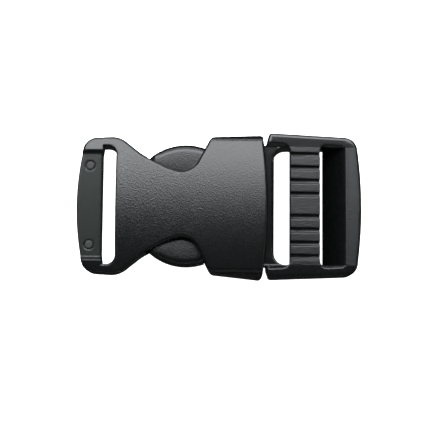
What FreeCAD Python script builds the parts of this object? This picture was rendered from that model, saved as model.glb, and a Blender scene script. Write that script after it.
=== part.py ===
import FreeCAD, Part
import Sketcher
import math
import os
import re

# A side-release buckle for 25 mm webbing, in millimetres.
# X runs along the strap, from the socket's tail to the ladder-lock end of the plug.
# Y runs across the strap and Z is up. The origin lies on the resting plane, under the
# middle of the buckle's box. Both mouldings are alike on the two sides of Y = 0.
#
# It is moulded in two pieces, a socket and a plug. The plug's two spring arms bend in
# use, so each is a sub-part of its own that turns in a seat in the plug's collar, where
# the real arm flexes.

SIZES = [
    # alias, value, what it is
    ("overrun", 3, "how far a cut runs past what it cuts"),
    ("overlap", 0.4, "how far two parts of one solid run into each other"),
    ("hairline", 0.05, "a step that keeps two edges from lying on one line"),
    ("groove_rise", 1, "how far a groove's cutting profile stands above the rails"),
    ("all_wide", 40, "a width that crosses the whole buckle"),
    ("socket_tail", -31.26, "X of the end of the socket's tail, at the middle"),
    ("tail_corner_back", 1.7, "how far the tail's corners lie back from its end"),
    ("tail_vertex", 1.1, "how far the bow's two tangents meet beyond the tail's end"),
    ("tail_bow", 60, "radius of the bow of the tail's end"),
    ("tail_half", 14.9, "half the width of the tail at its end"),
    ("tail_round", 3.2, "radius of the tail's corners"),
    ("tail_start", -22.0, "X where the neck's side turns into the tail's"),
    ("tail_start_half", 15.3, "half the width of the tail at its start"),
    ("tail_start_round", 5, "radius of the turn from neck to tail"),
    ("flank_far", -16.9, "X of the corner of the neck's side nearer the tail"),
    ("flank_far_half", 11.1, "half the neck's width at that corner"),
    ("flank_far_round", 10, "radius of that corner"),
    ("flank_near", -11.2, "X of the corner of the neck's side nearer the sleeve"),
    ("flank_near_half", 8.1, "half the neck's width at that corner"),
    ("flank_near_round", 12, "radius of that corner"),
    ("waist", -6.15, "X of the neck's narrowest corner"),
    ("waist_half", 6.4, "half the neck's width at its narrowest corner"),
    ("waist_round", 3.9, "radius of the neck's narrowest corner"),
    ("shoulder", -1.8, "X of the sleeve's shoulder"),
    ("shoulder_half", 14.9, "half the socket's width at the shoulder"),
    ("shoulder_round", 1.5, "radius of the shoulder's corner"),
    ("mouth", 10.6, "X of the socket's mouth, at the middle"),
    ("mouth_vertex", 0.9, "how far the bow's two tangents meet beyond the mouth"),
    ("mouth_bow", 110, "radius of the bow of the mouth's edge"),
    ("mouth_corner", 9.5, "X of the socket's mouth, at its corners"),
    ("mouth_half", 16.1, "half the socket's width at the mouth"),
    ("mouth_round", 0.8, "radius of the mouth's corners"),
    ("sleeve_high", 11.4, "height of the sleeve"),
    ("sleeve_start", -5.0, "X where the sleeve reaches its full height"),
    ("neck", -22.6, "X where the neck reaches the tail"),
    ("neck_fall", 2.2, "how far the top and the underside of the neck draw in"),
    ("fall_round", 40, "radius where that fall starts and ends"),
    ("crown", 65.0, "radius of the crown across the top"),
    ("crown_half", 18, "half the width that the crown's profile is drawn to"),
    ("crown_slope", 0.24, "slope of the crown's tangents at its sides"),
    ("crown_vertex", 1.846, "how far the crown's two tangents meet above it"),
    ("side_start", 12.2, "Y where the sleeve's rounded sides start"),
    ("side_start_fall", 1.138, "how far the crown falls by there"),
    ("side_corner", 14.846, "Y of the corner that a rounded side cuts off"),
    ("side_corner_fall", 1.705, "how far that corner lies below the top"),
    ("side_foot", 16.6, "Y of the foot of a rounded side"),
    ("side_foot_fall", 8.25, "how far the foot lies below the top"),
    ("side_round", 2, "radius of the sleeve's rounded sides"),
    ("rim_above", 0.8, "radius of the rounded outline of the socket, above"),
    ("rim_below", 0.8, "radius of the rounded outline of the socket, below"),
    ("cavity_floor", 2.0, "Z of the sleeve's inside floor"),
    ("cavity_roof", 9.0, "Z of the sleeve's inside roof"),
    ("cavity_half", 13.6, "half the width of the cavity at the mouth"),
    ("funnel_start", 6.0, "X where the cavity starts to narrow"),
    ("funnel_round", 3, "radius where it starts to narrow"),
    ("throat", -2.8, "X of the catch faces"),
    ("throat_half", 11.0, "half the width between the catches"),
    ("window_end", -15.9, "X where the side windows end"),
    ("rib_near", 2.5, "Y of the near side of a guide rib"),
    ("rib_wide", 0.8, "width of a guide rib"),
    ("rib_high", 1.3, "height of a guide rib"),
    ("slot_near", -22.6, "X of the strap slot's side next to the neck"),
    ("slot_far", -25.6, "X of the strap slot's side next to the strap bar"),
    ("slot_half", 13.0, "half the length of every strap slot, for 25 mm webbing"),
    ("slot_corner", 2, "radius of the strap slot's corners by the neck"),
    ("slot_edge", 0.4, "radius of the slot's upper and lower rims"),
    ("strap_bar_top", 7.0, "Z of the top of the strap bar"),
    ("strap_bar_low", 4.4, "Z of the underside of the strap bar"),
    ("bar_edge", 0.7, "radius of the strap bar's long edges, next to the slot"),
    ("tail_edge", 0.4, "radius of the strap bar's long edges, at the tail"),
    ("recess_half", 11.4, "half the length of the recess over the strap bar"),
    ("recess_draft", 3.2, "how far the recess's ends lean out up to the sleeve's height"),
    ("pin_mark", 1.15, "radius of an ejector pin's mark"),
    ("pin_disc", 0.85, "radius of the flat disc inside an ejector pin's mark"),
    ("pin_mark_deep", 0.25, "depth of the ring round that disc"),
    ("pin_mark_out", 8.75, "Y of an ejector pin's mark"),
    ("pin_mark_along", -28.4, "X of an ejector pin's mark"),
    ("plug_end", 31.3, "X of the plug's end, at the middle"),
    ("plug_vertex", 0.6, "how far the bow's two tangents meet beyond the plug's end"),
    ("plug_bow", 96, "radius of the bow of the plug's end"),
    ("plug_corner_back", 1.1, "how far the plug's corners lie back from its end"),
    ("plug_corner", 3, "radius of the plug's corners"),
    ("rail_end_half", 15.25, "half the plug's width at the rails' end"),
    ("rail_side", 11.05, "X where the rails' outer side starts"),
    ("rail_half", 16.0, "half the plug's width at the rails' start"),
    ("rail_side_round", 0.7, "radius of the rails' outer corner by the mouth"),
    ("rail_face", 10.4, "X of the rails' face against the mouth"),
    ("rail_nose_half", 14.0, "Y where the rails' face turns outwards"),
    ("rail_nose_round", 1, "radius of that turn"),
    ("collar_root_round", 0.3, "radius where the collar meets the rails' face"),
    ("rail_top", 9.4, "Z of the rails' top at their start"),
    ("rail_low", 1.6, "Z of the rails' underside at their start"),
    ("rail_slope", 0.07, "how fast the rails' top falls towards the plug's end"),
    ("rail_rise", 0.04, "how fast the rails' underside rises towards it"),
    ("plug_rim", 0.8, "radius of the plug's rounded outer edges"),
    ("collar_start", 6.5, "X of the collar's face inside the sleeve"),
    ("collar_half", 13.2, "half the width of the collar"),
    ("collar_round", 1, "radius of the collar's corners"),
    ("collar_low", 2.15, "lowest Z of the collar"),
    ("crossbar_lip", 0.6, "how far the crossbar's top edge is cut back round the slot"),
    ("inner_slot", 12.05, "X of the inner slot's side next to the crossbar"),
    ("inner_slot_corner", 2.6, "radius of the inner slot's corners by the crossbar"),
    ("window_half", 13.9, "half the distance between the rails, at their top"),
    ("crossbar_top", 8.5, "Z of the crossbar's top, next to the inner slot"),
    ("bar_start", 15.65, "X of the tension bar's side next to the inner slot"),
    ("bar_end", 22.1, "X of the tension bar's side next to the outer slot"),
    ("bar_thick", 4.4, "thickness of the tension bar"),
    ("slot_end_round", 0.85, "radius where the tension bar runs into the rails"),
    ("lean", 1.4, "how far, and over what height, the rails' inner sides lean out"),
    ("lean_past", 0.6, "how far that lean runs past the tension bar's sides, at its top"),
    ("outer_lean_foot", 7.9, "Z where the rails start to lean out beside the outer slot"),
    ("groove_first", 2.45, "Y of the first groove of the tension bar"),
    ("groove_pitch", 2.92, "distance between grooves"),
    ("groove_half", 0.45, "half the width of a groove at its floor"),
    ("groove_draft", 0.3, "how far a groove's side leans out by the rails' top"),
    ("groove_round", 0.3, "radius of a groove's floor"),
    ("groove_deep", 0.7, "depth of a groove"),
    ("ramp_start", 23.1, "X of the foot of the end bar's ramp"),
    ("ramp_end", 27.8, "X of the top of the end bar's ramp"),
    ("ramp_foot", 3.3, "Z of the foot of the ramp"),
    ("ramp_low", 2.5, "Z of the underside of the ramp"),
    ("ramp_round", 0.3, "radius of the ramp's two edges"),
    ("tongue_tip", -6.0, "X of the tip of the plug's guide tongue"),
    ("tongue_half", 2.0, "half the width of the guide tongue"),
    ("tongue_round", 1.6, "radius of the corners of the guide tongue's tip"),
    ("tongue_low", 2.4, "lowest Z of the guide tongue"),
    ("tongue_top", 8.6, "highest Z of the guide tongue"),
    ("pivot", 8.0, "X of the spring arms' pivots"),
    ("pivot_out", 9.6, "Y of the spring arms' pivots"),
    ("knuckle", 1.4, "radius of an arm's round root"),
    ("knuckle_gap", 0.05, "running gap round an arm's root"),
    ("swing_room", 0.8, "room in a seat's mouth for an arm's inward swing"),
    ("rest_room", 0.2, "room in a seat's mouth outside an arm at rest"),
    ("root_room", 0.1, "room beside a leaf at the pivot"),
    ("leaf_half", 0.9, "half the thickness of an arm's leaf"),
    ("leaf_flare", 0.3, "how much a leaf thickens by the pad"),
    ("arm_low", 2.3, "lowest Z of an arm"),
    ("arm_top", 8.7, "highest Z of an arm"),
    ("pad_face", -3.2, "X of the shoulder of a release pad"),
    ("pad_shoulder", 12.75, "Y of the outer corner of a release pad's shoulder"),
    ("pad_root_round", 0.5, "radius where the leaf meets the pad's shoulder"),
    ("pad_middle", -9.45, "X of the vertex of a pad's outer side"),
    ("pad_rise", 2, "how far that vertex lies outside the pad's shoulder"),
    ("pad_round", 12.1, "radius of a release pad's outer side"),
    ("pad_tip", -15.3, "X of the tip of a release pad"),
    ("pad_tip_slant", 0.3, "how far the tip leans along X"),
    ("pad_tip_wide", 1.5, "width of the tip"),
    ("pad_tip_round", 1.2, "radius of the tip's outer corner"),
    ("pad_inner", 8.7, "Y of the inner face of a release pad"),
    ("pad_start", -3.4, "X where a pad's inner face leaves the leaf's"),
    ("pad_start_round", 1, "radius where it leaves the leaf's"),
    ("pad_deep", 7.1, "Y of the pad's inner face at its thickest, under the neck"),
    ("pad_deep_start", -4.9, "X where the pad is first that thick"),
    ("pad_deep_end", -9.0, "X where the pad is last that thick"),
    ("pad_deep_round", 1.2, "radius of the first corner of the thick part"),
    ("pad_end_round", 8, "radius of its last corner"),
    ("pad_edge", 1.0, "radius of a release pad's rounded edge"),
]

doc = FreeCAD.newDocument("side_release_buckle")
sheet = doc.addObject("Spreadsheet::Sheet", "Sizes")


def fill_sheet():
    for row, (alias, number, meaning) in enumerate(SIZES, start=1):
        sheet.set(f"A{row}", meaning)
        sheet.set(f"B{row}", str(number))
        sheet.setAlias(f"B{row}", alias)
    doc.recompute()


def formula(text):
    """Write a formula of plain cell names as the document reads it."""
    return re.sub(r"[a-z_]{3,}", lambda name: f"Sizes.{name.group()}", text)


def value(text):
    """Work out a formula of cell names."""
    return float(sheet.evalExpression(formula(text)))


def bind(thing, path, text):
    """Tie a property, or a sketch's constraint, to a formula of cell names."""
    thing.setExpression(path, formula(text))


def new_sketch(body, name, plane, offset="0"):
    """Add a sketch on one of the body's origin planes, moved along the plane's normal."""
    origin_plane = next(f for f in body.Origin.OriginFeatures if f.Role == plane)
    sketch = body.newObject("Sketcher::SketchObject", name)
    sketch.AttachmentSupport = [(origin_plane, "")]
    sketch.MapMode = "FlatFace"
    bind(sketch, "AttachmentOffset.Base.z", offset)
    return sketch


def pin_point(sketch, geometry, end, x_text, y_text):
    """Hold one point of a sketch at formulas for its two coordinates."""
    for kind, text, axis in (("DistanceX", x_text, -2), ("DistanceY", y_text, -1)):
        place = value(text)
        if abs(place) < 1e-9:
            sketch.addConstraint(Sketcher.Constraint("PointOnObject", geometry, end, axis))
            continue
        index = sketch.addConstraint(Sketcher.Constraint(kind, -1, 1, geometry, end, place))
        bind(sketch, f"Constraints[{index}]", text)


def outline(sketch, corners, closed=True):
    """Draw one outline, with every corner and radius tied to the sheet.

    Each corner is (x, y) or (x, y, radius), as formulas. Straight edges join the
    corners, and a tangent arc rounds each corner that has a radius. An open outline
    leaves out the edge from the last corner back to the first.
    """
    count = len(corners)
    points = [FreeCAD.Vector(value(c[0]), value(c[1]), 0) for c in corners]
    radii = [value(c[2]) if len(c) == 3 else 0.0 for c in corners]
    reach, bisector = [], []
    for i in range(count):
        back = (points[i - 1] - points[i]).normalize()
        ahead = (points[(i + 1) % count] - points[i]).normalize()
        half_angle = back.getAngle(ahead) / 2
        reach.append(radii[i] / math.tan(half_angle) if radii[i] else 0.0)
        bisector.append(((back + ahead).normalize(), half_angle))
    lines = []
    for i in range(count if closed else count - 1):
        step = points[(i + 1) % count] - points[i]
        if step.Length - reach[i] - reach[(i + 1) % count] < 0.01:
            raise ValueError(f"{sketch.Name}: no room on the edge after corner {i}")
        ahead = FreeCAD.Vector(step).normalize()
        start = points[i] + ahead * reach[i]
        end = points[(i + 1) % count] - ahead * reach[(i + 1) % count]
        lines.append(sketch.addGeometry(Part.LineSegment(start, end), False))
    if not closed:
        pin_point(sketch, lines[0], 1, corners[0][0], corners[0][1])
        pin_point(sketch, lines[-1], 2, corners[-1][0], corners[-1][1])
    for i, corner in enumerate(corners):
        if not closed and i in (0, count - 1):
            continue
        before, after = lines[i - 1], lines[i]
        if not radii[i]:
            sketch.addConstraint(Sketcher.Constraint("Coincident", before, 2, after, 1))
            pin_point(sketch, after, 1, corner[0], corner[1])
            continue
        toward, half_angle = bisector[i]
        centre = points[i] + toward * (radii[i] / math.sin(half_angle))
        enter = sketch.Geometry[before].EndPoint - centre
        leave = sketch.Geometry[after].StartPoint - centre
        turns_left = enter.cross(leave).z > 0
        first, last = (enter, leave) if turns_left else (leave, enter)
        first_angle = math.atan2(first.y, first.x)
        last_angle = math.atan2(last.y, last.x)
        circle = Part.Circle(centre, FreeCAD.Vector(0, 0, 1), radii[i])
        arc = sketch.addGeometry(Part.ArcOfCircle(circle, first_angle, last_angle), False)
        mark = sketch.addGeometry(Part.Point(points[i]), True)
        pin_point(sketch, mark, 1, corner[0], corner[1])
        sketch.addConstraint(Sketcher.Constraint("PointOnObject", mark, 1, before))
        sketch.addConstraint(Sketcher.Constraint("PointOnObject", mark, 1, after))
        enter_end, leave_end = (1, 2) if turns_left else (2, 1)
        sketch.addConstraint(Sketcher.Constraint("Tangent", before, 2, arc, enter_end))
        sketch.addConstraint(Sketcher.Constraint("Tangent", after, 1, arc, leave_end))
        index = sketch.addConstraint(Sketcher.Constraint("Radius", arc, radii[i]))
        bind(sketch, f"Constraints[{index}]", corner[2])


def circle(sketch, x_text, y_text, radius_text):
    """Draw a circle, with its centre and radius tied to the sheet."""
    centre = FreeCAD.Vector(value(x_text), value(y_text), 0)
    ring = Part.Circle(centre, FreeCAD.Vector(0, 0, 1), value(radius_text))
    index = sketch.addGeometry(ring, False)
    pin_point(sketch, index, 3, x_text, y_text)
    radius = sketch.addConstraint(Sketcher.Constraint("Radius", index, value(radius_text)))
    bind(sketch, f"Constraints[{radius}]", radius_text)


def both_sides(corners, *middle):
    """A half outline on the +Y side, any corners on Y = 0, then the mirror image."""
    mirrored = [(c[0], f"-({c[1]})", *c[2:]) for c in reversed(corners)]
    return corners + list(middle) + mirrored


def across(corners, *middle):
    """The same for an outline that lies across the buckle, drawn in Y and Z."""
    mirrored = [(f"-({c[0]})", *c[1:]) for c in reversed(corners)]
    return corners + list(middle) + mirrored


def on_side(corners, side):
    """An outline drawn on the +Y side, or its mirror image when side is -1."""
    return [(c[0], f"({side}) * ({c[1]})", *c[2:]) for c in corners[::side]]


def new_body(label):
    body = doc.addObject("PartDesign::Body", label)
    body.Label = label
    return body


def extrude(kind, body, sketch, length, midplane=False, backwards=False, taper="0"):
    """Pad or pocket a sketch, and make sure that it changes the body."""
    before = volume_of(body)
    feature = body.newObject(f"PartDesign::{kind}", sketch.Name.removesuffix("_sketch"))
    feature.Profile = sketch
    bind(feature, "Length", length)
    feature.Midplane = midplane
    feature.Reversed = backwards
    if taper != "0":
        bind(feature, "TaperAngle", taper)
    finish(body, feature, before)
    return feature


def volume_of(body):
    """The body's volume, which is nothing before its first feature."""
    solid_features = [f for f in body.Group if f.isDerivedFrom("PartDesign::Feature")]
    return body.Shape.Volume if solid_features else 0.0


def finish(body, feature, before):
    doc.recompute()
    if "Invalid" in feature.State or "Error" in feature.State:
        raise ValueError(f"{feature.Name} failed: {feature.State}")
    if abs(body.Shape.Volume - before) < 0.005:
        raise ValueError(f"{feature.Name} changed nothing")
    if not body.Shape.isValid():
        raise ValueError(f"{feature.Name} made a shape that is not valid")


def pad(body, name, plane, offset, corners, length, **how):
    sketch = new_sketch(body, f"{name}_sketch", plane, offset)
    outline(sketch, corners)
    return extrude("Pad", body, sketch, length, **how)


def pocket(body, name, plane, offset, corners, length, **how):
    sketch = new_sketch(body, f"{name}_sketch", plane, offset)
    outline(sketch, corners)
    return extrude("Pocket", body, sketch, length, **how)


def round_edges(body, name, radius, wanted):
    """Fillet the edges of the body's last feature whose middle point is wanted."""
    base = body.Tip
    names = []
    for number, edge in enumerate(base.Shape.Edges, start=1):
        middle = edge.valueAt((edge.FirstParameter + edge.LastParameter) / 2)
        if wanted(middle, edge):
            names.append(f"Edge{number}")
    if not names:
        raise ValueError(f"{name} found no edge")
    before = body.Shape.Volume
    fillet = body.newObject("PartDesign::Fillet", name)
    fillet.Base = (base, names)
    bind(fillet, "Radius", radius)
    finish(body, fillet, before)
    return fillet


SOCKET_SIDE = [
    ("mouth_corner", "mouth_half", "mouth_round"),
    ("shoulder", "shoulder_half", "shoulder_round"),
    ("waist", "waist_half", "waist_round"),
    ("flank_near", "flank_near_half", "flank_near_round"),
    ("flank_far", "flank_far_half", "flank_far_round"),
    ("tail_start", "tail_start_half", "tail_start_round"),
    ("socket_tail + tail_corner_back", "tail_half", "tail_round"),
]


def is_upright(edge):
    box = edge.BoundBox
    return box.ZLength > 0.1 and box.XLength < 1e-4 and box.YLength < 1e-4


def round_the_rims(body):
    """Round the whole outline of the blank, above and below."""
    middle_high = value("sleeve_high") / 2
    round_edges(body, "rim_above", "rim_above",
                lambda middle, edge: middle.z > middle_high and not is_upright(edge))
    round_edges(body, "rim_below", "rim_below",
                lambda middle, edge: middle.z < middle_high - 1 and not is_upright(edge))


def round_the_sleeve_sides(body):
    """Take a wider rounding off the two long top edges of the sleeve."""
    for side, word in ((1, "left"), (-1, "right")):
        pocket(body, f"sleeve_side_{word}", "YZ_Plane", "mouth + overrun", [
            (f"({side}) * {y}", z, *radius) for y, z, *radius in (
                ("side_start", "sleeve_high - side_start_fall"),
                ("side_corner", "sleeve_high - side_corner_fall", "side_round"),
                ("side_foot", "sleeve_high - side_foot_fall"),
                ("all_wide / 2", "sleeve_high - side_foot_fall"),
                ("all_wide / 2", "sleeve_high + overrun"),
                ("side_start", "sleeve_high + overrun"),
            )][::side], "mouth - shoulder + 2 * overrun")


def crown_the_top(body):
    """Sweep a shallow arc across the buckle along the fall from sleeve to neck."""
    vertex = "sleeve_high + crown_vertex"
    side = f"{vertex} - crown_half * crown_slope"
    above = "sleeve_high + 2 * overrun"
    crown = new_sketch(body, "crown_sketch", "YZ_Plane", "mouth + overrun")
    outline(crown, [("0", vertex, "crown"), ("crown_half", side), ("crown_half", above),
                    ("-crown_half", above), ("-crown_half", side)])
    path = new_sketch(body, "crown_path", "XZ_Plane")
    outline(path, [("mouth + overrun", "sleeve_high"),
                   ("sleeve_start", "sleeve_high", "fall_round"),
                   ("neck", "sleeve_high - neck_fall", "fall_round"),
                   ("socket_tail - overrun", "sleeve_high - neck_fall")], closed=False)
    before = volume_of(body)
    sweep = body.newObject("PartDesign::SubtractivePipe", "crown")
    sweep.Profile = crown
    sweep.Spine = path
    sweep.Mode = "Fixed"
    finish(body, sweep, before)


def hollow_the_sleeve(body):
    """The funnel that the plug's arms enter by, and the windows they spring out into."""
    pocket(body, "cavity", "XY_Plane", "cavity_roof", both_sides([
        ("mouth + overrun", "cavity_half"),
        ("funnel_start", "cavity_half", "funnel_round"),
        ("throat", "throat_half"),
        ("throat", "all_wide / 2"),
        ("window_end", "all_wide / 2"),
    ]), "cavity_roof - cavity_floor")
    for level, backwards in (("cavity_floor", False), ("cavity_roof", True)):
        for side in (1, -1):
            start = f"{level} + rib_high" if not backwards else f"{level} - rib_high"
            pad(body, f"rib_{level}_{'left' if side > 0 else 'right'}", "XY_Plane", start, on_side([
                ("funnel_start", "rib_near"),
                ("funnel_start", "rib_near + rib_wide"),
                ("window_end - overlap", "rib_near + rib_wide"),
                ("window_end - overlap", "rib_near"),
            ], side), "rib_high + overlap", backwards=not backwards)


def shape_the_tail(body):
    """The strap slot, the sunk strap bar and the two ejector pins' marks."""
    pocket(body, "strap_slot", "XY_Plane", "sleeve_high", both_sides([
        ("slot_near", "slot_half", "slot_corner"),
        ("slot_far", "slot_half"),
    ]), "sleeve_high")
    pocket(body, "recess_above", "YZ_Plane", "slot_far", across([
        ("recess_half", "strap_bar_top"),
        ("recess_half + recess_draft", "sleeve_high"),
    ]), "slot_far - socket_tail + overrun")
    pocket(body, "recess_below", "YZ_Plane", "slot_far", across([
        ("recess_half", "strap_bar_low"),
        ("recess_half + recess_draft", "0"),
    ]), "slot_far - socket_tail + overrun")


def soften_the_tail(body):
    """Round the strap bar's long edges and break the sharp rims of slot and recess."""
    slot_far = value("slot_far")
    slot_near = value("slot_near")
    slot_half = value("slot_half")
    bar_top = value("strap_bar_top")
    bar_low = value("strap_bar_low")

    def on_bar(middle, edge):
        on_level = min(abs(middle.z - bar_top), abs(middle.z - bar_low)) < 0.01
        return on_level and abs(middle.x - slot_far) < 0.1 and edge.BoundBox.YLength > 5

    def on_tail(middle, edge):
        on_level = min(abs(middle.z - bar_top), abs(middle.z - bar_low)) < 0.01
        return on_level and middle.x < slot_far - 2 and edge.BoundBox.YLength > 5

    def on_slot_rim(middle, edge):
        near = slot_far + 0.3 < middle.x < slot_near + 0.2
        above = middle.z > bar_top + 0.3 or middle.z < bar_low - 0.3
        return near and above and abs(middle.y) < slot_half + 0.05 and not is_upright(edge)

    round_edges(body, "strap_bar_edges", "bar_edge", on_bar)
    round_edges(body, "tail_edges", "tail_edge", on_tail)
    round_edges(body, "slot_rim", "slot_edge", on_slot_rim)


def mark_the_bar(body):
    marks = new_sketch(body, "pin_marks_sketch", "XY_Plane", "strap_bar_top")
    for out in ("pin_mark_out", "-pin_mark_out"):
        circle(marks, "pin_mark_along", out, "pin_mark")
        circle(marks, "pin_mark_along", out, "pin_disc")
    extrude("Pocket", body, marks, "pin_mark_deep")


def make_socket():
    body = new_body("socket")
    pad(body, "socket_plan", "XY_Plane", "-overrun", both_sides(
        SOCKET_SIDE, ("socket_tail - tail_vertex", "0", "tail_bow")
    ) + [("mouth + mouth_vertex", "0", "mouth_bow")], "sleeve_high + 2 * overrun")
    crown_the_top(body)
    pocket(body, "underside", "XZ_Plane", "0", [
        ("socket_tail - overrun", "neck_fall"),
        ("neck", "neck_fall", "fall_round"),
        ("sleeve_start", "0", "fall_round"),
        ("mouth + overrun", "0"),
        ("mouth + overrun", "-2 * overrun"),
        ("socket_tail - overrun", "-2 * overrun"),
    ], "all_wide", midplane=True)
    round_the_rims(body)
    round_the_sleeve_sides(body)
    shape_the_tail(body)
    soften_the_tail(body)
    hollow_the_sleeve(body)
    mark_the_bar(body)
    return body


def rail_top_at(along):
    return f"rail_top - rail_slope * ({along} - inner_slot)"


def make_plug_frame():
    body = new_body("plug_frame")
    pad(body, "plug_plan", "XY_Plane", "rail_low - overrun", both_sides([
        ("collar_start", "collar_half", "collar_round"),
        ("rail_face", "collar_half", "collar_root_round"),
        ("rail_face", "rail_nose_half", "rail_nose_round"),
        ("rail_side", "rail_half", "rail_side_round"),
        ("plug_end - plug_corner_back", "rail_end_half", "plug_corner"),
    ], ("plug_end + plug_vertex", "0", "plug_bow")), "rail_top - rail_low + 2 * overrun")
    before_collar = "(collar_start - overrun)"
    past_end = "(plug_end + overrun)"
    pocket(body, "rail_fall_top", "XZ_Plane", "0", [
        (before_collar, rail_top_at(before_collar)),
        (past_end, rail_top_at(past_end)),
        (past_end, "rail_top + 2 * overrun"),
        (before_collar, "rail_top + 2 * overrun"),
    ], "all_wide", midplane=True)
    pocket(body, "rail_fall_below", "XZ_Plane", "0", [
        (before_collar, f"rail_low + rail_rise * ({before_collar} - inner_slot)"),
        (past_end, f"rail_low + rail_rise * ({past_end} - inner_slot)"),
        (past_end, "rail_low - 2 * overrun"),
        (before_collar, "rail_low - 2 * overrun"),
    ], "all_wide", midplane=True)
    round_edges(body, "plug_rim", "plug_rim", lambda middle, edge: not is_upright(edge))
    cut_slots(body)
    pad(body, "end_ramp", "XZ_Plane", "0", [
        ("ramp_start", "ramp_low"),
        ("ramp_end + overlap", "ramp_low"),
        ("ramp_end + overlap", rail_top_at("ramp_end")),
        ("ramp_end", rail_top_at("ramp_end"), "ramp_round"),
        ("ramp_start", "ramp_foot", "ramp_round"),
    ], "2 * window_half", midplane=True)
    cut_grooves(body)
    pad(body, "tongue", "XY_Plane", "tongue_low", both_sides([
        ("collar_start + overlap", "tongue_half"),
        ("tongue_tip", "tongue_half", "tongue_round"),
    ]), "tongue_top - tongue_low")
    cut_arm_seats(body)
    return body


def cut_slots(body):
    """Two slots between the rails, which leave a crossbar and a tension bar.

    Above each slot the rails' inner sides lean out, and so do the slot's rounded corners.
    The crossbar and the collar are lower than the rails, and the crossbar's edge leans too.
    """
    pocket(body, "inner_slot", "XY_Plane", "rail_top + overrun", both_sides([
        ("inner_slot", "slot_half", "inner_slot_corner"),
        ("bar_start", "slot_half", "slot_end_round"),
    ]), "rail_top + 2 * overrun")
    pocket(body, "outer_slot", "XY_Plane", "rail_top + overrun", both_sides([
        ("bar_end", "slot_half", "slot_end_round"),
        ("ramp_end", "slot_half"),
    ]), "rail_top + 2 * overrun")
    pocket(body, "crossbar_step", "XY_Plane", "crossbar_top + lean", both_sides([
        ("collar_start - overrun", "slot_half + lean"),
        ("bar_start + lean_past", "slot_half + lean", "slot_end_round + lean"),
    ]), "lean", taper="-45")
    pocket(body, "crossbar_lip", "XY_Plane", "crossbar_top", both_sides([
        ("inner_slot - crossbar_lip", "slot_half", "inner_slot_corner + crossbar_lip"),
        ("bar_start - overlap", "slot_half"),
    ]), "crossbar_lip", taper="-45")
    pocket(body, "outer_lean", "XY_Plane", "outer_lean_foot + lean", both_sides([
        ("bar_end - lean_past", "slot_half + lean", "slot_end_round + lean"),
        ("ramp_end + overlap", "slot_half + lean"),
    ]), "lean", taper="-45")
    pocket(body, "collar_below", "XY_Plane", "collar_low", both_sides([
        ("collar_start - overrun", "window_half"),
        ("inner_slot + overlap", "window_half"),
    ]), "collar_low + overrun")
    pocket(body, "bar_underside", "XY_Plane", f"{rail_top_at('bar_end')} - bar_thick", both_sides([
        ("bar_start - slot_end_round - hairline", "slot_half"),
        ("bar_end + slot_end_round + hairline", "slot_half"),
    ]), "rail_top")


def cut_grooves(body):
    """Eight round-floored grooves along X, four on each side of a wide middle land."""
    sketch = new_sketch(body, "grooves_sketch", "YZ_Plane", "bar_end + overlap")
    floor = f"{rail_top_at('bar_end')} - groove_deep"
    for side in (1, -1):
        for count in range(4):
            middle = f"({side}) * (groove_first + {count} * groove_pitch)"
            outline(sketch, [
                (f"{middle} - groove_half", floor, "groove_round"),
                (f"{middle} + groove_half", floor, "groove_round"),
                (f"{middle} + groove_half + groove_draft", "rail_top + groove_rise"),
                (f"{middle} - groove_half - groove_draft", "rail_top + groove_rise"),
            ])
    extrude("Pocket", body, sketch, "bar_end - bar_start + 2 * overlap")


def cut_arm_seats(body):
    """A round seat for each arm's root, and a mouth wide enough for the arm to swing."""
    for side, word in ((1, "left"), (-1, "right")):
        seat = new_sketch(body, f"seat_{word}_sketch", "XY_Plane", "rail_top")
        circle(seat, "pivot", f"({side}) * pivot_out", "knuckle + knuckle_gap")
        extrude("Pocket", body, seat, "rail_top")
        pocket(body, f"seat_mouth_{word}", "XY_Plane", "rail_top", on_side([
            ("collar_start - overlap", "pivot_out - leaf_half - swing_room"),
            ("collar_start - overlap", "pivot_out + leaf_half + rest_room"),
            ("pivot", "pivot_out + leaf_half + root_room"),
            ("pivot", "pivot_out - leaf_half - root_room"),
        ], side), "rail_top")


def make_arm(side, word):
    body = new_body(f"arm_{word}")
    pad(body, f"leaf_{word}", "XY_Plane", "arm_low", on_side([
        ("pivot", "pivot_out - leaf_half"),
        ("pivot", "pivot_out + leaf_half"),
        ("pad_face", "pivot_out + leaf_half + leaf_flare", "pad_root_round"),
        ("pad_face", "pad_shoulder"),
        ("pad_middle", "pad_shoulder + pad_rise", "pad_round"),
        ("pad_tip - pad_tip_slant", "pad_inner + pad_tip_wide", "pad_tip_round"),
        ("pad_tip + pad_tip_slant", "pad_inner"),
        ("pad_deep_end", "pad_deep", "pad_end_round"),
        ("pad_deep_start", "pad_deep", "pad_deep_round"),
        ("pad_start", "pivot_out - leaf_half", "pad_start_round"),
    ], side), "arm_top - arm_low")
    root = new_sketch(body, f"knuckle_{word}_sketch", "XY_Plane", "arm_low")
    circle(root, "pivot", f"({side}) * pivot_out", "knuckle")
    extrude("Pad", body, root, "arm_top - arm_low")
    outer = value("pad_inner + 0.1")
    face = value("pad_face")
    round_edges(body, f"pad_edge_{word}", "pad_edge", lambda middle, edge: (
        not is_upright(edge) and middle.x < face - 0.2 and side * middle.y > outer))
    return body


def check_and_export(bodies):
    os.makedirs("parts", exist_ok=True)
    doc.recompute()
    for thing in doc.Objects:
        if "Invalid" in thing.State or "Error" in thing.State:
            raise ValueError(f"{thing.Name} failed: {thing.State}")
    for body in bodies:
        if body.Shape.isNull() or not body.Shape.isValid():
            raise ValueError(f"{body.Label} has no valid shape")
        if len(body.Shape.Solids) != 1:
            raise ValueError(f"{body.Label} is {len(body.Shape.Solids)} solids")
        body.Shape.exportStep(f"parts/{body.Label}.step")


fill_sheet()
check_and_export([make_socket(), make_plug_frame(), make_arm(1, "left"), make_arm(-1, "right")])
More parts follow.
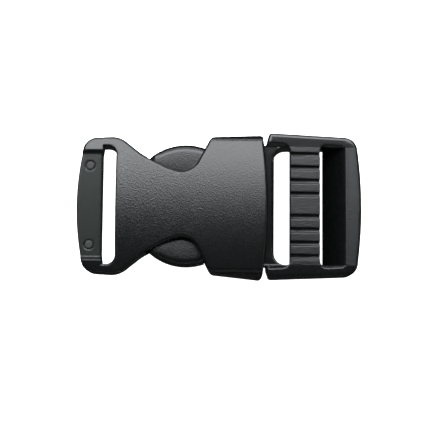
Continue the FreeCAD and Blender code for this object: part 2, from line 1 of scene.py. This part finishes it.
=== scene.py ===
"""A side-release buckle for 25 mm webbing: finishes, spring arms and stage, built round its fixed frame.

Everything is in metres in the frame's own axes: X along the strap towards the ladder lock, Y across it,
Z up. Panel sizes are in millimetres. Functions that draw shapes take and give millimetres, and only the
last step into a mesh turns them to metres.
"""

import math

import bpy
import numpy as np
from bpy.props import FloatProperty, FloatVectorProperty, PointerProperty, StringProperty
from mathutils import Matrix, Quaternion, Vector


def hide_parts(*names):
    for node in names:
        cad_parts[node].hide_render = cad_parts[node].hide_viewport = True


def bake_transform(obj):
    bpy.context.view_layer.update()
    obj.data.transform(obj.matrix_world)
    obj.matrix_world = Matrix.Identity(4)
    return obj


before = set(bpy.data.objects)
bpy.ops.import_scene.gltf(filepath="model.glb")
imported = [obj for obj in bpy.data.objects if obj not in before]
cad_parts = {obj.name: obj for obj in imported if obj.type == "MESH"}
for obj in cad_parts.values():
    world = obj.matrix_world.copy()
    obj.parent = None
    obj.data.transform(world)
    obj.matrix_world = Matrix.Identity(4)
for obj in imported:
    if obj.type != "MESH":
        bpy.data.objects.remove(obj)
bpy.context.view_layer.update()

bl_info = {
    "name": "Side-release buckle",
    "version": (1, 0, 0),
    "blender": (4, 5, 0),
    "location": "3D View > Sidebar > Buckle",
    "description": "Makes the finishes, spring arms and stage of a moulded side-release buckle",
    "category": "Object",
}

MM = 0.001
SHARP = math.radians(32.0)

# Zones of the mouldings, each a box's two corners in mm.
STRAP_BAR = ((-33.0, -12.6, 4.0), (-25.4, 12.6, 7.1))
COLLAR = ((9.0, -14.0, 0.0), (12.6, 14.0, 12.0))
SLOT_RAMP = ((22.3, -14.0, 0.0), (27.6, 14.0, 9.0))
LEFT_RAIL = ((10.0, 13.1, 0.0), (33.0, 18.0, 12.0))
RIGHT_RAIL = ((10.0, -18.0, 0.0), (33.0, -13.1, 12.0))
# Middle of an ejector pin's mark, with X and Y taken without their signs, and its disc's radius, in mm.
PIN_MARK = (28.4, 8.75, 7.0)
PIN_DISC = 0.85


class BuckleFinish(bpy.types.PropertyGroup):
    """Colours and surfaces of the moulded acetal."""

    black: StringProperty(name="Black", description="Acetal with carbon black, sRGB hex", default="070808")
    worn: StringProperty(
        name="Satin grey", description="Acetal where webbing has rubbed it, sRGB hex", default="141815")
    grain_wide: FloatProperty(
        name="Grain width", description="Width of one pit of the spark-eroded grain, in mm",
        default=0.25, min=0.05)
    grain_deep: FloatProperty(
        name="Grain depth", description="Height from pit to peak, in mm", default=0.038, min=0.0)
    grained_rough: FloatProperty(
        name="Grained roughness", description="Roughness where the mould is spark-eroded",
        default=0.28, min=0.0, max=1.0, subtype="FACTOR")
    smooth_rough: FloatProperty(
        name="Smooth roughness", description="Roughness where the mould is stoned smooth",
        default=0.18, min=0.0, max=1.0, subtype="FACTOR")
    flow_wide: FloatProperty(
        name="Flow width", description="Width of the dull and clear patches left by the melt, in mm",
        default=6.0, min=0.5)
    edge_round: FloatProperty(
        name="Edge", description="Radius that light catches on an edge too fine to model, in mm",
        default=0.4, min=0.0)
    satin_rough: FloatProperty(
        name="Satin roughness", description="Roughness where webbing has rubbed the strap bar",
        default=0.26, min=0.0, max=1.0, subtype="FACTOR")
    pin_rough: FloatProperty(
        name="Pin mark roughness", description="Roughness of the discs left by the ejector pins",
        default=0.45, min=0.0, max=1.0, subtype="FACTOR")


class BuckleArms(bpy.types.PropertyGroup):
    """Sizes of the two spring arms."""

    leaf: FloatProperty(name="Leaf", description="Thickness of the leaf, in mm", default=1.8, min=0.5)
    pad_edge: FloatProperty(
        name="Pad edge", description="Radius of the pad's rounded edge, in mm", default=1.8, min=0.1)
    leaf_edge: FloatProperty(
        name="Leaf edge", description="Radius of the leaf's edges, in mm", default=0.25, min=0.05)


class BuckleStage(bpy.types.PropertyGroup):
    """Camera, lights and floor."""

    elevation: FloatProperty(
        name="Elevation", description="Camera's height above the horizon", default=math.radians(83.5),
        unit="ROTATION")
    roll: FloatProperty(
        name="Roll", description="Turn of the camera about its own axis", default=math.radians(0.5),
        unit="ROTATION")
    distance: FloatProperty(
        name="Distance", description="Camera's distance from the buckle, in mm", default=260.0, min=50.0)
    view_wide: FloatProperty(
        name="View width", description="Width of the view at the buckle, in mm", default=96.9, min=10.0)
    aim: FloatVectorProperty(
        name="Aim", description="X and Y that the camera looks at, in mm", size=2, default=(0.3, -3.0))
    paper: StringProperty(name="Paper", description="Floor, sRGB hex", default="F6F6F6")
    daylight: StringProperty(
        name="Daylight", description="The lights' cool white, sRGB hex", default="F8FBFF")
    room: FloatProperty(
        name="Room light", description="Brightness of the room around the lights", default=0.024, min=0.0)
    glow: FloatProperty(
        name="Light table", description="Light that comes up through the floor", default=1.1, min=0.0)


def settings(group):
    """One of the panel's groups of settings."""
    return getattr(bpy.context.scene, f"buckle_{group}")


def linear(code):
    """An sRGB hex colour as linear RGBA: each channel c becomes ((c + 0.055) / 1.055) ** 2.4."""
    channels = [int(code[i:i + 2], 16) / 255 for i in (0, 2, 4)]
    return [c / 12.92 if c <= 0.04045 else ((c + 0.055) / 1.055) ** 2.4 for c in channels] + [1.0]


def add_node(tree, kind, links=(), values=(), **fields):
    """Add a node with its fields, its inputs' values, and links from other nodes' outputs.

    links and values are pairs of an input's name or number and what goes into it.
    """
    node = tree.nodes.new(kind)
    for name, field in fields.items():
        setattr(node, name, field)
    for name, number in values:
        node.inputs[name].default_value = number
    for name, source in links:
        tree.links.new(source, node.inputs[name])
    return node


def new_material(name):
    """An empty node material and its tree."""
    material = bpy.data.materials.new(name)
    material.use_nodes = True
    material.node_tree.nodes.clear()
    return material, material.node_tree


def inside_box(tree, where, corners, soft):
    """1 inside a box given by two corners in mm, falling to 0 over a soft edge in mm outside it.

    The distance past a face is |p - middle| - half size on each axis, and the largest of the three counts.
    """
    low, high = (np.array(corner) * MM for corner in corners)
    away = add_node(
        tree, "ShaderNodeVectorMath", [(0, where)], [(1, tuple((low + high) / 2))], operation="SUBTRACT")
    away = add_node(tree, "ShaderNodeVectorMath", [(0, away.outputs[0])], operation="ABSOLUTE")
    past = add_node(
        tree, "ShaderNodeVectorMath", [(0, away.outputs[0])], [(1, tuple((high - low) / 2))],
        operation="SUBTRACT")
    x, y, z = add_node(tree, "ShaderNodeSeparateXYZ", [(0, past.outputs[0])]).outputs
    most = add_node(tree, "ShaderNodeMath", [(0, x), (1, y)], operation="MAXIMUM")
    most = add_node(tree, "ShaderNodeMath", [(0, most.outputs[0]), (1, z)], operation="MAXIMUM")
    return add_node(
        tree, "ShaderNodeMapRange", [("Value", most.outputs[0])],
        [("From Min", soft * MM), ("From Max", 0.0)], interpolation_type="SMOOTHSTEP").outputs["Result"]


def on_pin_discs(tree, where):
    """1 on the discs that the two ejector pins leave, by distance to a pin's middle, soft over 0.1 mm."""
    fold = add_node(tree, "ShaderNodeVectorMath", [(0, where)], operation="ABSOLUTE")
    away = add_node(
        tree, "ShaderNodeVectorMath", [(0, fold.outputs[0])], [(1, tuple(v * MM for v in PIN_MARK))],
        operation="DISTANCE")
    return add_node(
        tree, "ShaderNodeMapRange", [("Value", away.outputs["Value"])],
        [("From Min", (PIN_DISC + 0.1) * MM), ("From Max", PIN_DISC * MM)],
        interpolation_type="SMOOTHSTEP").outputs["Result"]


def moulded_acetal(name, smooth_boxes=(), satin_box=None, fineness=1.0):
    """Black acetal from an injection mould.

    The mould's open faces are spark-eroded, which gives the faces that look up or down a fine pitted
    grain that scatters light in sparks. Real pits are about 0.1 mm wide, and are drawn wider so that
    they show. The mould's drafted sides, and the boxes given, are stoned smooth and look darker with a
    clearer sheen. The satin box is where webbing rubs: it is slightly grey, with the duller discs of
    two ejector pins. A fineness over 1 makes the grain that many times smaller and shallower.
    """
    finish = settings("finish")
    material, tree = new_material(name)
    where = add_node(tree, "ShaderNodeTexCoord").outputs["Object"]
    normal = add_node(tree, "ShaderNodeNewGeometry").outputs["Normal"]
    facing = add_node(tree, "ShaderNodeSeparateXYZ", [(0, normal)]).outputs["Z"]
    upright = add_node(tree, "ShaderNodeMath", [(0, facing)], operation="ABSOLUTE")
    grained = add_node(
        tree, "ShaderNodeMapRange", [("Value", upright.outputs[0])], [("From Min", 0.80), ("From Max", 0.98)],
        interpolation_type="SMOOTHSTEP").outputs["Result"]
    for box in smooth_boxes:
        inside = inside_box(tree, where, box, 0.25)
        outside = add_node(tree, "ShaderNodeMath", [(1, inside)], [(0, 1.0)], operation="SUBTRACT")
        grained = add_node(
            tree, "ShaderNodeMath", [(0, grained), (1, outside.outputs[0])], operation="MULTIPLY").outputs[0]

    per_metre = fineness / (finish.grain_wide * MM)
    pits = add_node(
        tree, "ShaderNodeTexVoronoi", [("Vector", where)], [("Scale", per_metre), ("Smoothness", 0.6)],
        feature="SMOOTH_F1")
    peaks = add_node(
        tree, "ShaderNodeTexNoise", [("Vector", where)],
        [("Scale", 0.7 * per_metre), ("Detail", 3.0), ("Roughness", 0.65)])
    grain = add_node(
        tree, "ShaderNodeMath", [(0, pits.outputs["Distance"]), (1, peaks.outputs["Fac"])], operation="ADD")
    edges = add_node(tree, "ShaderNodeBevel", [], [("Radius", finish.edge_round * MM)], samples=6)
    bump = add_node(
        tree, "ShaderNodeBump",
        [("Height", grain.outputs[0]), ("Strength", grained), ("Normal", edges.outputs[0])],
        [("Distance", finish.grain_deep / fineness * MM)])

    rough = add_node(
        tree, "ShaderNodeMix", [(0, grained)], [(2, finish.smooth_rough), (3, finish.grained_rough)])
    flow = add_node(
        tree, "ShaderNodeTexNoise", [("Vector", where)],
        [("Scale", 1 / (finish.flow_wide * MM)), ("Detail", 2.0)])
    rough = add_node(
        tree, "ShaderNodeMath", [(0, flow.outputs["Fac"]), (2, rough.outputs[0])], [(1, 0.03)],
        operation="MULTIPLY_ADD")
    colour = add_node(
        tree, "ShaderNodeMix", [], [(0, 0.0), (6, linear(finish.black)), (7, linear(finish.worn))],
        data_type="RGBA")
    if satin_box:
        rubbed = inside_box(tree, where, satin_box, 0.2)
        tree.links.new(rubbed, colour.inputs[0])
        rough = add_node(
            tree, "ShaderNodeMix", [(0, rubbed), (2, rough.outputs[0])], [(3, finish.satin_rough)])
        rough = add_node(
            tree, "ShaderNodeMix", [(0, on_pin_discs(tree, where)), (2, rough.outputs[0])],
            [(3, finish.pin_rough)])
    shader = add_node(
        tree, "ShaderNodeBsdfPrincipled",
        [("Base Color", colour.outputs[2]), ("Roughness", rough.outputs[0]), ("Normal", bump.outputs[0])],
        [("IOR", 1.48)])
    add_node(tree, "ShaderNodeOutputMaterial", [("Surface", shader.outputs["BSDF"])])
    return material


def smooth_by_angle():
    """Geometry nodes that shade smooth, and keep an edge sharp where its faces meet at over SHARP."""
    group = bpy.data.node_groups.new("Smooth by angle", "GeometryNodeTree")
    for way in ("INPUT", "OUTPUT"):
        group.interface.new_socket("Geometry", in_out=way, socket_type="NodeSocketGeometry")
    start = add_node(group, "NodeGroupInput").outputs[0]
    angle = add_node(group, "GeometryNodeInputMeshEdgeAngle").outputs["Unsigned Angle"]
    gentle = add_node(
        group, "ShaderNodeMath", [(0, angle)], [(1, SHARP)], operation="LESS_THAN").outputs[0]
    faces = add_node(
        group, "GeometryNodeSetShadeSmooth", [("Geometry", start)], [("Shade Smooth", True)], domain="FACE")
    edges = add_node(
        group, "GeometryNodeSetShadeSmooth", [("Geometry", faces.outputs[0]), ("Shade Smooth", gentle)],
        domain="EDGE")
    add_node(group, "NodeGroupOutput", [(0, edges.outputs[0])])
    return group


def finish_node(name, material):
    """Give a CAD node its material, and smooth its shading without moving a corner."""
    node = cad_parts[name]
    node.data.materials.clear()
    node.data.materials.append(material)
    node.modifiers.new("Weld", "WELD").merge_threshold = MM / 1000
    smooth = node.modifiers.new("Smooth by angle", "NODES")
    smooth.node_group = bpy.data.node_groups.get("Smooth by angle") or smooth_by_angle()
    node.modifiers.new("Weighted normals", "WEIGHTED_NORMAL").keep_sharp = True


# The left arm's plan in mm, each corner as x, y and radius, from the root to the tip.
ARM_OUTER = [(9.5, 10.5, 0), (-3.199, 10.8, 0.5), (-3.2, 12.75, 0), (-9.45, 14.75, 12.1),
             (-15.6, 10.2, 1.2), (-15.0, 8.7, 0)]
ARM_INNER = [(9.5, 8.7, 0), (-3.4, 8.7, 1.0), (-4.9, 7.1, 1.2), (-9.0, 7.1, 8.0), (-15.0, 8.7, 0),
             (-15.256, 9.34, 0)]
# The arm's root is a round pin and its tip a round nose: X and Y of each one's middle, and its radius.
ARM_ROOT, ARM_OUT, ARM_ROUND = 8.0, 9.6, 1.4
NOSE_X, NOSE_Y, NOSE_ROUND = -14.142, 9.786, 1.2
# X where the nose's arc takes over from the inner line and from the outer line.
NOSE_FROM_INNER, NOSE_FROM_OUTER = -15.256, -14.856
ARM_TIP = NOSE_X - NOSE_ROUND
ARM_LOW, ARM_TOP = 2.3, 8.7
# X where the pad steps out from the leaf, and X where the leaf's bend starts and ends.
PAD_FACE = -3.2
# Sections along the leaf and pad: first X, last X and how many, close together at the pad's step.
ARM_RUNS = [(7.9, -2.7, 40), (-2.75, -3.199, 12), (-3.2001, -5.2, 24), (-5.3, -14.092, 70)]
# How far short of a round end the last section stops, so that it isn't a point, in mm.
SHAVE = 0.0005
# The most of a section's width that one of its rounded edges takes.
ROUND_SHARE = 0.45


def rounded_line(corners, steps=24):
    """Points along straight edges whose corners are rounded by tangent arcs.

    An arc of radius r leaves each edge r / tan(half angle) from the corner, and its centre lies
    r / sin(half angle) from it along the bisector.
    """
    points = [np.array(corners[0][:2], float)]
    for before, (x, y, radius), after in zip(corners, corners[1:], corners[2:]):
        corner = np.array((x, y), float)
        if not radius:
            points.append(corner)
            continue
        back = np.array(before[:2]) - corner
        ahead = np.array(after[:2]) - corner
        back, ahead = back / np.linalg.norm(back), ahead / np.linalg.norm(ahead)
        half = math.acos(float(back @ ahead)) / 2
        bisector = (back + ahead) / np.linalg.norm(back + ahead)
        centre = corner + bisector * radius / math.sin(half)
        turn = np.linspace(-1, 1, steps)[:, None] * (math.pi / 2 - half)
        across = (ahead - back) / np.linalg.norm(ahead - back)
        points.extend(centre + radius * (np.sin(turn) * across - np.cos(turn) * bisector))
    points.append(np.array(corners[-1][:2], float))
    return np.array(points)


def arm_surface(side):
    """A spring arm, as rounded sections carried along X from its root to the pad's tip.

    At each station the section reaches from the inner to the outer line of the plan, and from the arm's
    low face to its top. Its corners are quarter circles, of the pad's edge radius outside the pad and the
    leaf's elsewhere, and never more than ROUND_SHARE of the section's width. Within an edge radius r of
    the tip at distance d, the faces draw in by r - sqrt(r^2 - (r - d)^2), so the nose is round. The root
    is a round pin: half its width is sqrt(R^2 - (x - root)^2) wherever that is more than the leaf's. In
    plan the nose is a circle too, and stations at both ends are spaced by 1 - cos.
    """
    sizes = settings("arms")
    curl = 1 - np.cos(np.linspace(0, math.pi / 2, 15))
    runs = [np.linspace(*run) for run in ARM_RUNS]
    x = np.concatenate([ARM_ROOT + ARM_ROUND * (1 - curl) - SHAVE, *runs, ARM_TIP + NOSE_ROUND * curl])
    x = np.unique(np.round(x, 5))[::-1]
    x = x[x > ARM_TIP + SHAVE]
    plan = [rounded_line(corners) for corners in (ARM_INNER, ARM_OUTER)]
    y_in, y_out = (np.interp(x, *line[line[:, 0].argsort(kind="stable")].T) for line in plan)
    nose = np.sqrt(np.maximum(NOSE_ROUND ** 2 - (x - NOSE_X) ** 2, 0))
    y_in = np.where(x < NOSE_FROM_INNER, NOSE_Y - nose, y_in)
    y_out = np.where(x < NOSE_FROM_OUTER, NOSE_Y + nose, y_out)
    pin = np.sqrt(np.maximum(ARM_ROUND ** 2 - (x - ARM_ROOT) ** 2, 0))
    half = np.where(x > ARM_ROOT, pin, np.maximum(pin, sizes.leaf / 2))
    at_root = x > ARM_ROOT - ARM_ROUND
    y_in = np.where(at_root, ARM_OUT - half, y_in)
    y_out = np.where(at_root, ARM_OUT + half, y_out)

    widest = ROUND_SHARE * (y_out - y_in)
    round_out = np.minimum(np.where(x < PAD_FACE, sizes.pad_edge, sizes.leaf_edge), widest)
    round_in = np.minimum(sizes.leaf_edge, widest)
    near = np.clip(sizes.pad_edge - (x - ARM_TIP), 0, sizes.pad_edge)
    draw_in = sizes.pad_edge - np.sqrt(sizes.pad_edge ** 2 - near ** 2)
    low, top = ARM_LOW + draw_in, ARM_TOP - draw_in

    turn = np.linspace(0, math.pi / 2, 9)[None, :]
    c, s = np.cos(turn), np.sin(turn)
    y_out, y_in, low, top, ro, ri = (a[:, None] for a in (y_out, y_in, low, top, round_out, round_in))
    y = np.concatenate([y_out - ro + ro * c, y_in + ri - ri * s, y_in + ri - ri * c, y_out - ro + ro * s], 1)
    z = np.concatenate([top - ro + ro * s, top - ri + ri * c, low + ri - ri * s, low + ro - ro * c], 1)
    grid = np.stack([np.broadcast_to(x[:, None], y.shape), y * side, z], axis=-1)
    return closed_tube(grid, flip=side < 0)


def closed_tube(grid, flip):
    """Points and faces of a tube of closed rings, with each end closed by a fan to its middle."""
    rings, around = grid.shape[:2]
    ends = grid[[0, -1]].mean(axis=1)
    points = np.concatenate([grid.reshape(-1, 3), ends])
    row = np.arange(rings - 1)[:, None] * around
    step = np.arange(around)
    after = (step + 1) % around
    quads = np.stack([row + step, row + after, row + around + after, row + around + step], -1).reshape(-1, 4)
    first = np.stack([after, step, np.full(around, rings * around)], -1)
    last_row = (rings - 1) * around
    last = np.stack([last_row + step, last_row + after, np.full(around, rings * around + 1)], -1)
    faces = quads.tolist() + first.tolist() + last.tolist()
    return points, [face[::-1] for face in faces] if flip else faces


def mesh_object(name, points, faces, material):
    """An object from points in mm and faces, smooth except over edges sharper than SHARP."""
    mesh = bpy.data.meshes.new(name)
    mesh.from_pydata((points * MM).tolist(), [], faces)
    mesh.polygons.foreach_set("use_smooth", np.ones(len(faces), bool))
    mesh.set_sharp_from_angle(angle=SHARP)
    mesh.materials.append(material)
    return add_object(name, mesh)


class BUCKLE_OT_socket(bpy.types.Operator):
    """Finish the socket: spark-eroded sleeve and neck, smooth sides, satin strap bar"""

    bl_idname = "buckle.socket"
    bl_label = "Finish the socket"

    def execute(self, context):
        finish_node("socket", moulded_acetal("Acetal, spark-eroded socket", [STRAP_BAR], satin_box=STRAP_BAR))
        return {"FINISHED"}


class BUCKLE_OT_plug(bpy.types.Operator):
    """Finish the plug's frame: spark-eroded bars, smooth ramp, rails and grooves"""

    bl_idname = "buckle.plug"
    bl_label = "Finish the plug"

    def execute(self, context):
        smooth = [SLOT_RAMP, COLLAR, LEFT_RAIL, RIGHT_RAIL]
        finish_node("plug_frame", moulded_acetal("Acetal, spark-eroded plug", smooth))
        return {"FINISHED"}


class BUCKLE_OT_arms(bpy.types.Operator):
    """Make the two spring arms with their release pads"""

    bl_idname = "buckle.arms"
    bl_label = "Make the spring arms"

    def execute(self, context):
        material = moulded_acetal("Acetal, spark-eroded arms", fineness=1.2)
        for word, side in (("left", 1), ("right", -1)):
            arm = mesh_object(f"spring_arm_{word}", *arm_surface(side), material)
            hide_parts(f"arm_{word}")
            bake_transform(arm)
        return {"FINISHED"}


class BUCKLE_OT_stage(bpy.types.Operator):
    """Set the paper floor, the soft lights and the camera"""

    bl_idname = "buckle.stage"
    bl_label = "Set the stage"

    def execute(self, context):
        make_floor()
        make_lights()
        make_camera()
        return {"FINISHED"}


def add_object(name, data):
    made = bpy.data.objects.new(name, data)
    bpy.context.scene.collection.objects.link(made)
    return made


def make_floor():
    """A round paper floor whose rim curves up into a wall, a profile turned about Z.

    The profile runs out flat to 1.1 m, then up a quarter circle of 0.5 m radius, then straight up 0.7 m.
    """
    sides = 64
    stage = settings("stage")
    bend = np.linspace(0, math.pi / 2, 13)
    out = np.concatenate([[0.3, 0.7], 1.1 + 0.5 * np.sin(bend), [1.6]])
    up = np.concatenate([[0.0, 0.0], 0.5 - 0.5 * np.cos(bend), [1.2]])
    turn = np.arange(sides) * 2 * math.pi / sides
    ring = np.stack([np.outer(out, np.cos(turn)), np.outer(out, np.sin(turn)),
                     np.repeat(up[:, None], sides, 1)], axis=-1)
    points = np.concatenate([ring.reshape(-1, 3), [[0.0, 0.0, 0.0]]])
    row = np.arange(len(out) - 1)[:, None] * sides
    step = np.arange(sides)
    after = (step + 1) % sides
    quads = np.stack([row + step, row + sides + step, row + sides + after, row + after], axis=-1)
    middle = np.stack([np.full(sides, len(points) - 1), step, after], axis=-1)
    mesh = bpy.data.meshes.new("paper_floor")
    mesh.from_pydata(points.tolist(), [], quads.reshape(-1, 4).tolist() + middle.tolist())
    mesh.polygons.foreach_set("use_smooth", np.ones(len(mesh.polygons), bool))
    floor = add_object("paper_floor", mesh)
    floor.visible_glossy = False
    material, tree = new_material("Paper, matt white, lit from below")
    shader = add_node(tree, "ShaderNodeBsdfPrincipled", [], [
        ("Base Color", linear(stage.paper)), ("Roughness", 0.9), ("Emission Color", (1.0, 1.0, 1.0, 1.0)),
        ("Emission Strength", stage.glow)])
    add_node(tree, "ShaderNodeOutputMaterial", [("Surface", shader.outputs["BSDF"])])
    mesh.materials.append(material)


def softbox(name, place, wide, deep, brightness):
    """A soft light at a place in metres, facing the buckle. Its power is pi times area times brightness."""
    light = bpy.data.lights.new(name, "AREA")
    light.shape = "RECTANGLE"
    light.size = wide
    light.size_y = deep
    light.energy = math.pi * wide * deep * brightness
    light.color = linear(settings("stage").daylight)[:3]
    lamp = add_object(name, light)
    lamp.location = place
    lamp.visible_camera = False
    lamp.rotation_euler = (-Vector(place)).to_track_quat("-Z", "Y").to_euler()


def make_lights():
    """A dim room, a large softbox above the far side, a low strip behind it, and weak low fills elsewhere."""
    world = bpy.data.worlds.new("studio")
    world.use_nodes = True
    background = world.node_tree.nodes["Background"]
    background.inputs["Color"].default_value = (1.0, 1.0, 1.0, 1.0)
    background.inputs["Strength"].default_value = settings("stage").room
    bpy.context.scene.world = world
    softbox("key_softbox", (-0.01, 0.215, 0.285), 0.52, 0.26, 8.8)
    softbox("rim_strip", (0.0, 0.60, 0.13), 0.9, 0.12, 4.0)
    softbox("front_fill", (0.0, -0.55, 0.16), 0.8, 0.2, 0.3)
    softbox("tail_fill", (-0.55, 0.0, 0.16), 0.5, 0.2, 0.6)
    softbox("plug_fill", (0.55, 0.0, 0.16), 0.5, 0.2, 0.6)


def make_camera():
    """A camera almost straight above, leaning a little to the front of the buckle."""
    stage = settings("stage")
    data = bpy.data.cameras.new("camera")
    data.sensor_width = 36.0
    data.lens = data.sensor_width * stage.distance / stage.view_wide
    camera = add_object("camera", data)
    aim = Vector((stage.aim[0], stage.aim[1], 6.0)) * MM
    back = Vector((0.0, -math.cos(stage.elevation), math.sin(stage.elevation)))
    camera.location = aim + back * stage.distance * MM
    camera.rotation_mode = "QUATERNION"
    camera.rotation_quaternion = back.to_track_quat("Z", "Y") @ Quaternion((0.0, 0.0, 1.0), stage.roll)
    bpy.context.scene.camera = camera
    bpy.context.scene.view_settings.view_transform = "Standard"


class BUCKLE_PT_panel(bpy.types.Panel):
    """Lists the buckle's settings and steps"""

    bl_idname = "BUCKLE_PT_panel"
    bl_label = "Side-release buckle"
    bl_space_type = "VIEW_3D"
    bl_region_type = "UI"
    bl_category = "Buckle"

    def draw(self, context):
        for group in GROUPS:
            box = self.layout.box()
            for name in GROUPS[group].__annotations__:
                box.prop(settings(group), name)
        for step in STEPS:
            self.layout.operator(step.bl_idname)


GROUPS = {"finish": BuckleFinish, "arms": BuckleArms, "stage": BuckleStage}
STEPS = (BUCKLE_OT_socket, BUCKLE_OT_plug, BUCKLE_OT_arms, BUCKLE_OT_stage)
CLASSES = (*GROUPS.values(), *STEPS, BUCKLE_PT_panel)


def register():
    for made in CLASSES:
        bpy.utils.register_class(made)
    for group, made in GROUPS.items():
        setattr(bpy.types.Scene, f"buckle_{group}", PointerProperty(type=made))


def unregister():
    for group in GROUPS:
        delattr(bpy.types.Scene, f"buckle_{group}")
    for made in reversed(CLASSES):
        bpy.utils.unregister_class(made)


def main():
    register()
    bpy.ops.buckle.socket()
    bpy.ops.buckle.plug()
    bpy.ops.buckle.arms()
    bpy.ops.buckle.stage()


if __name__ == "__main__":
    main()
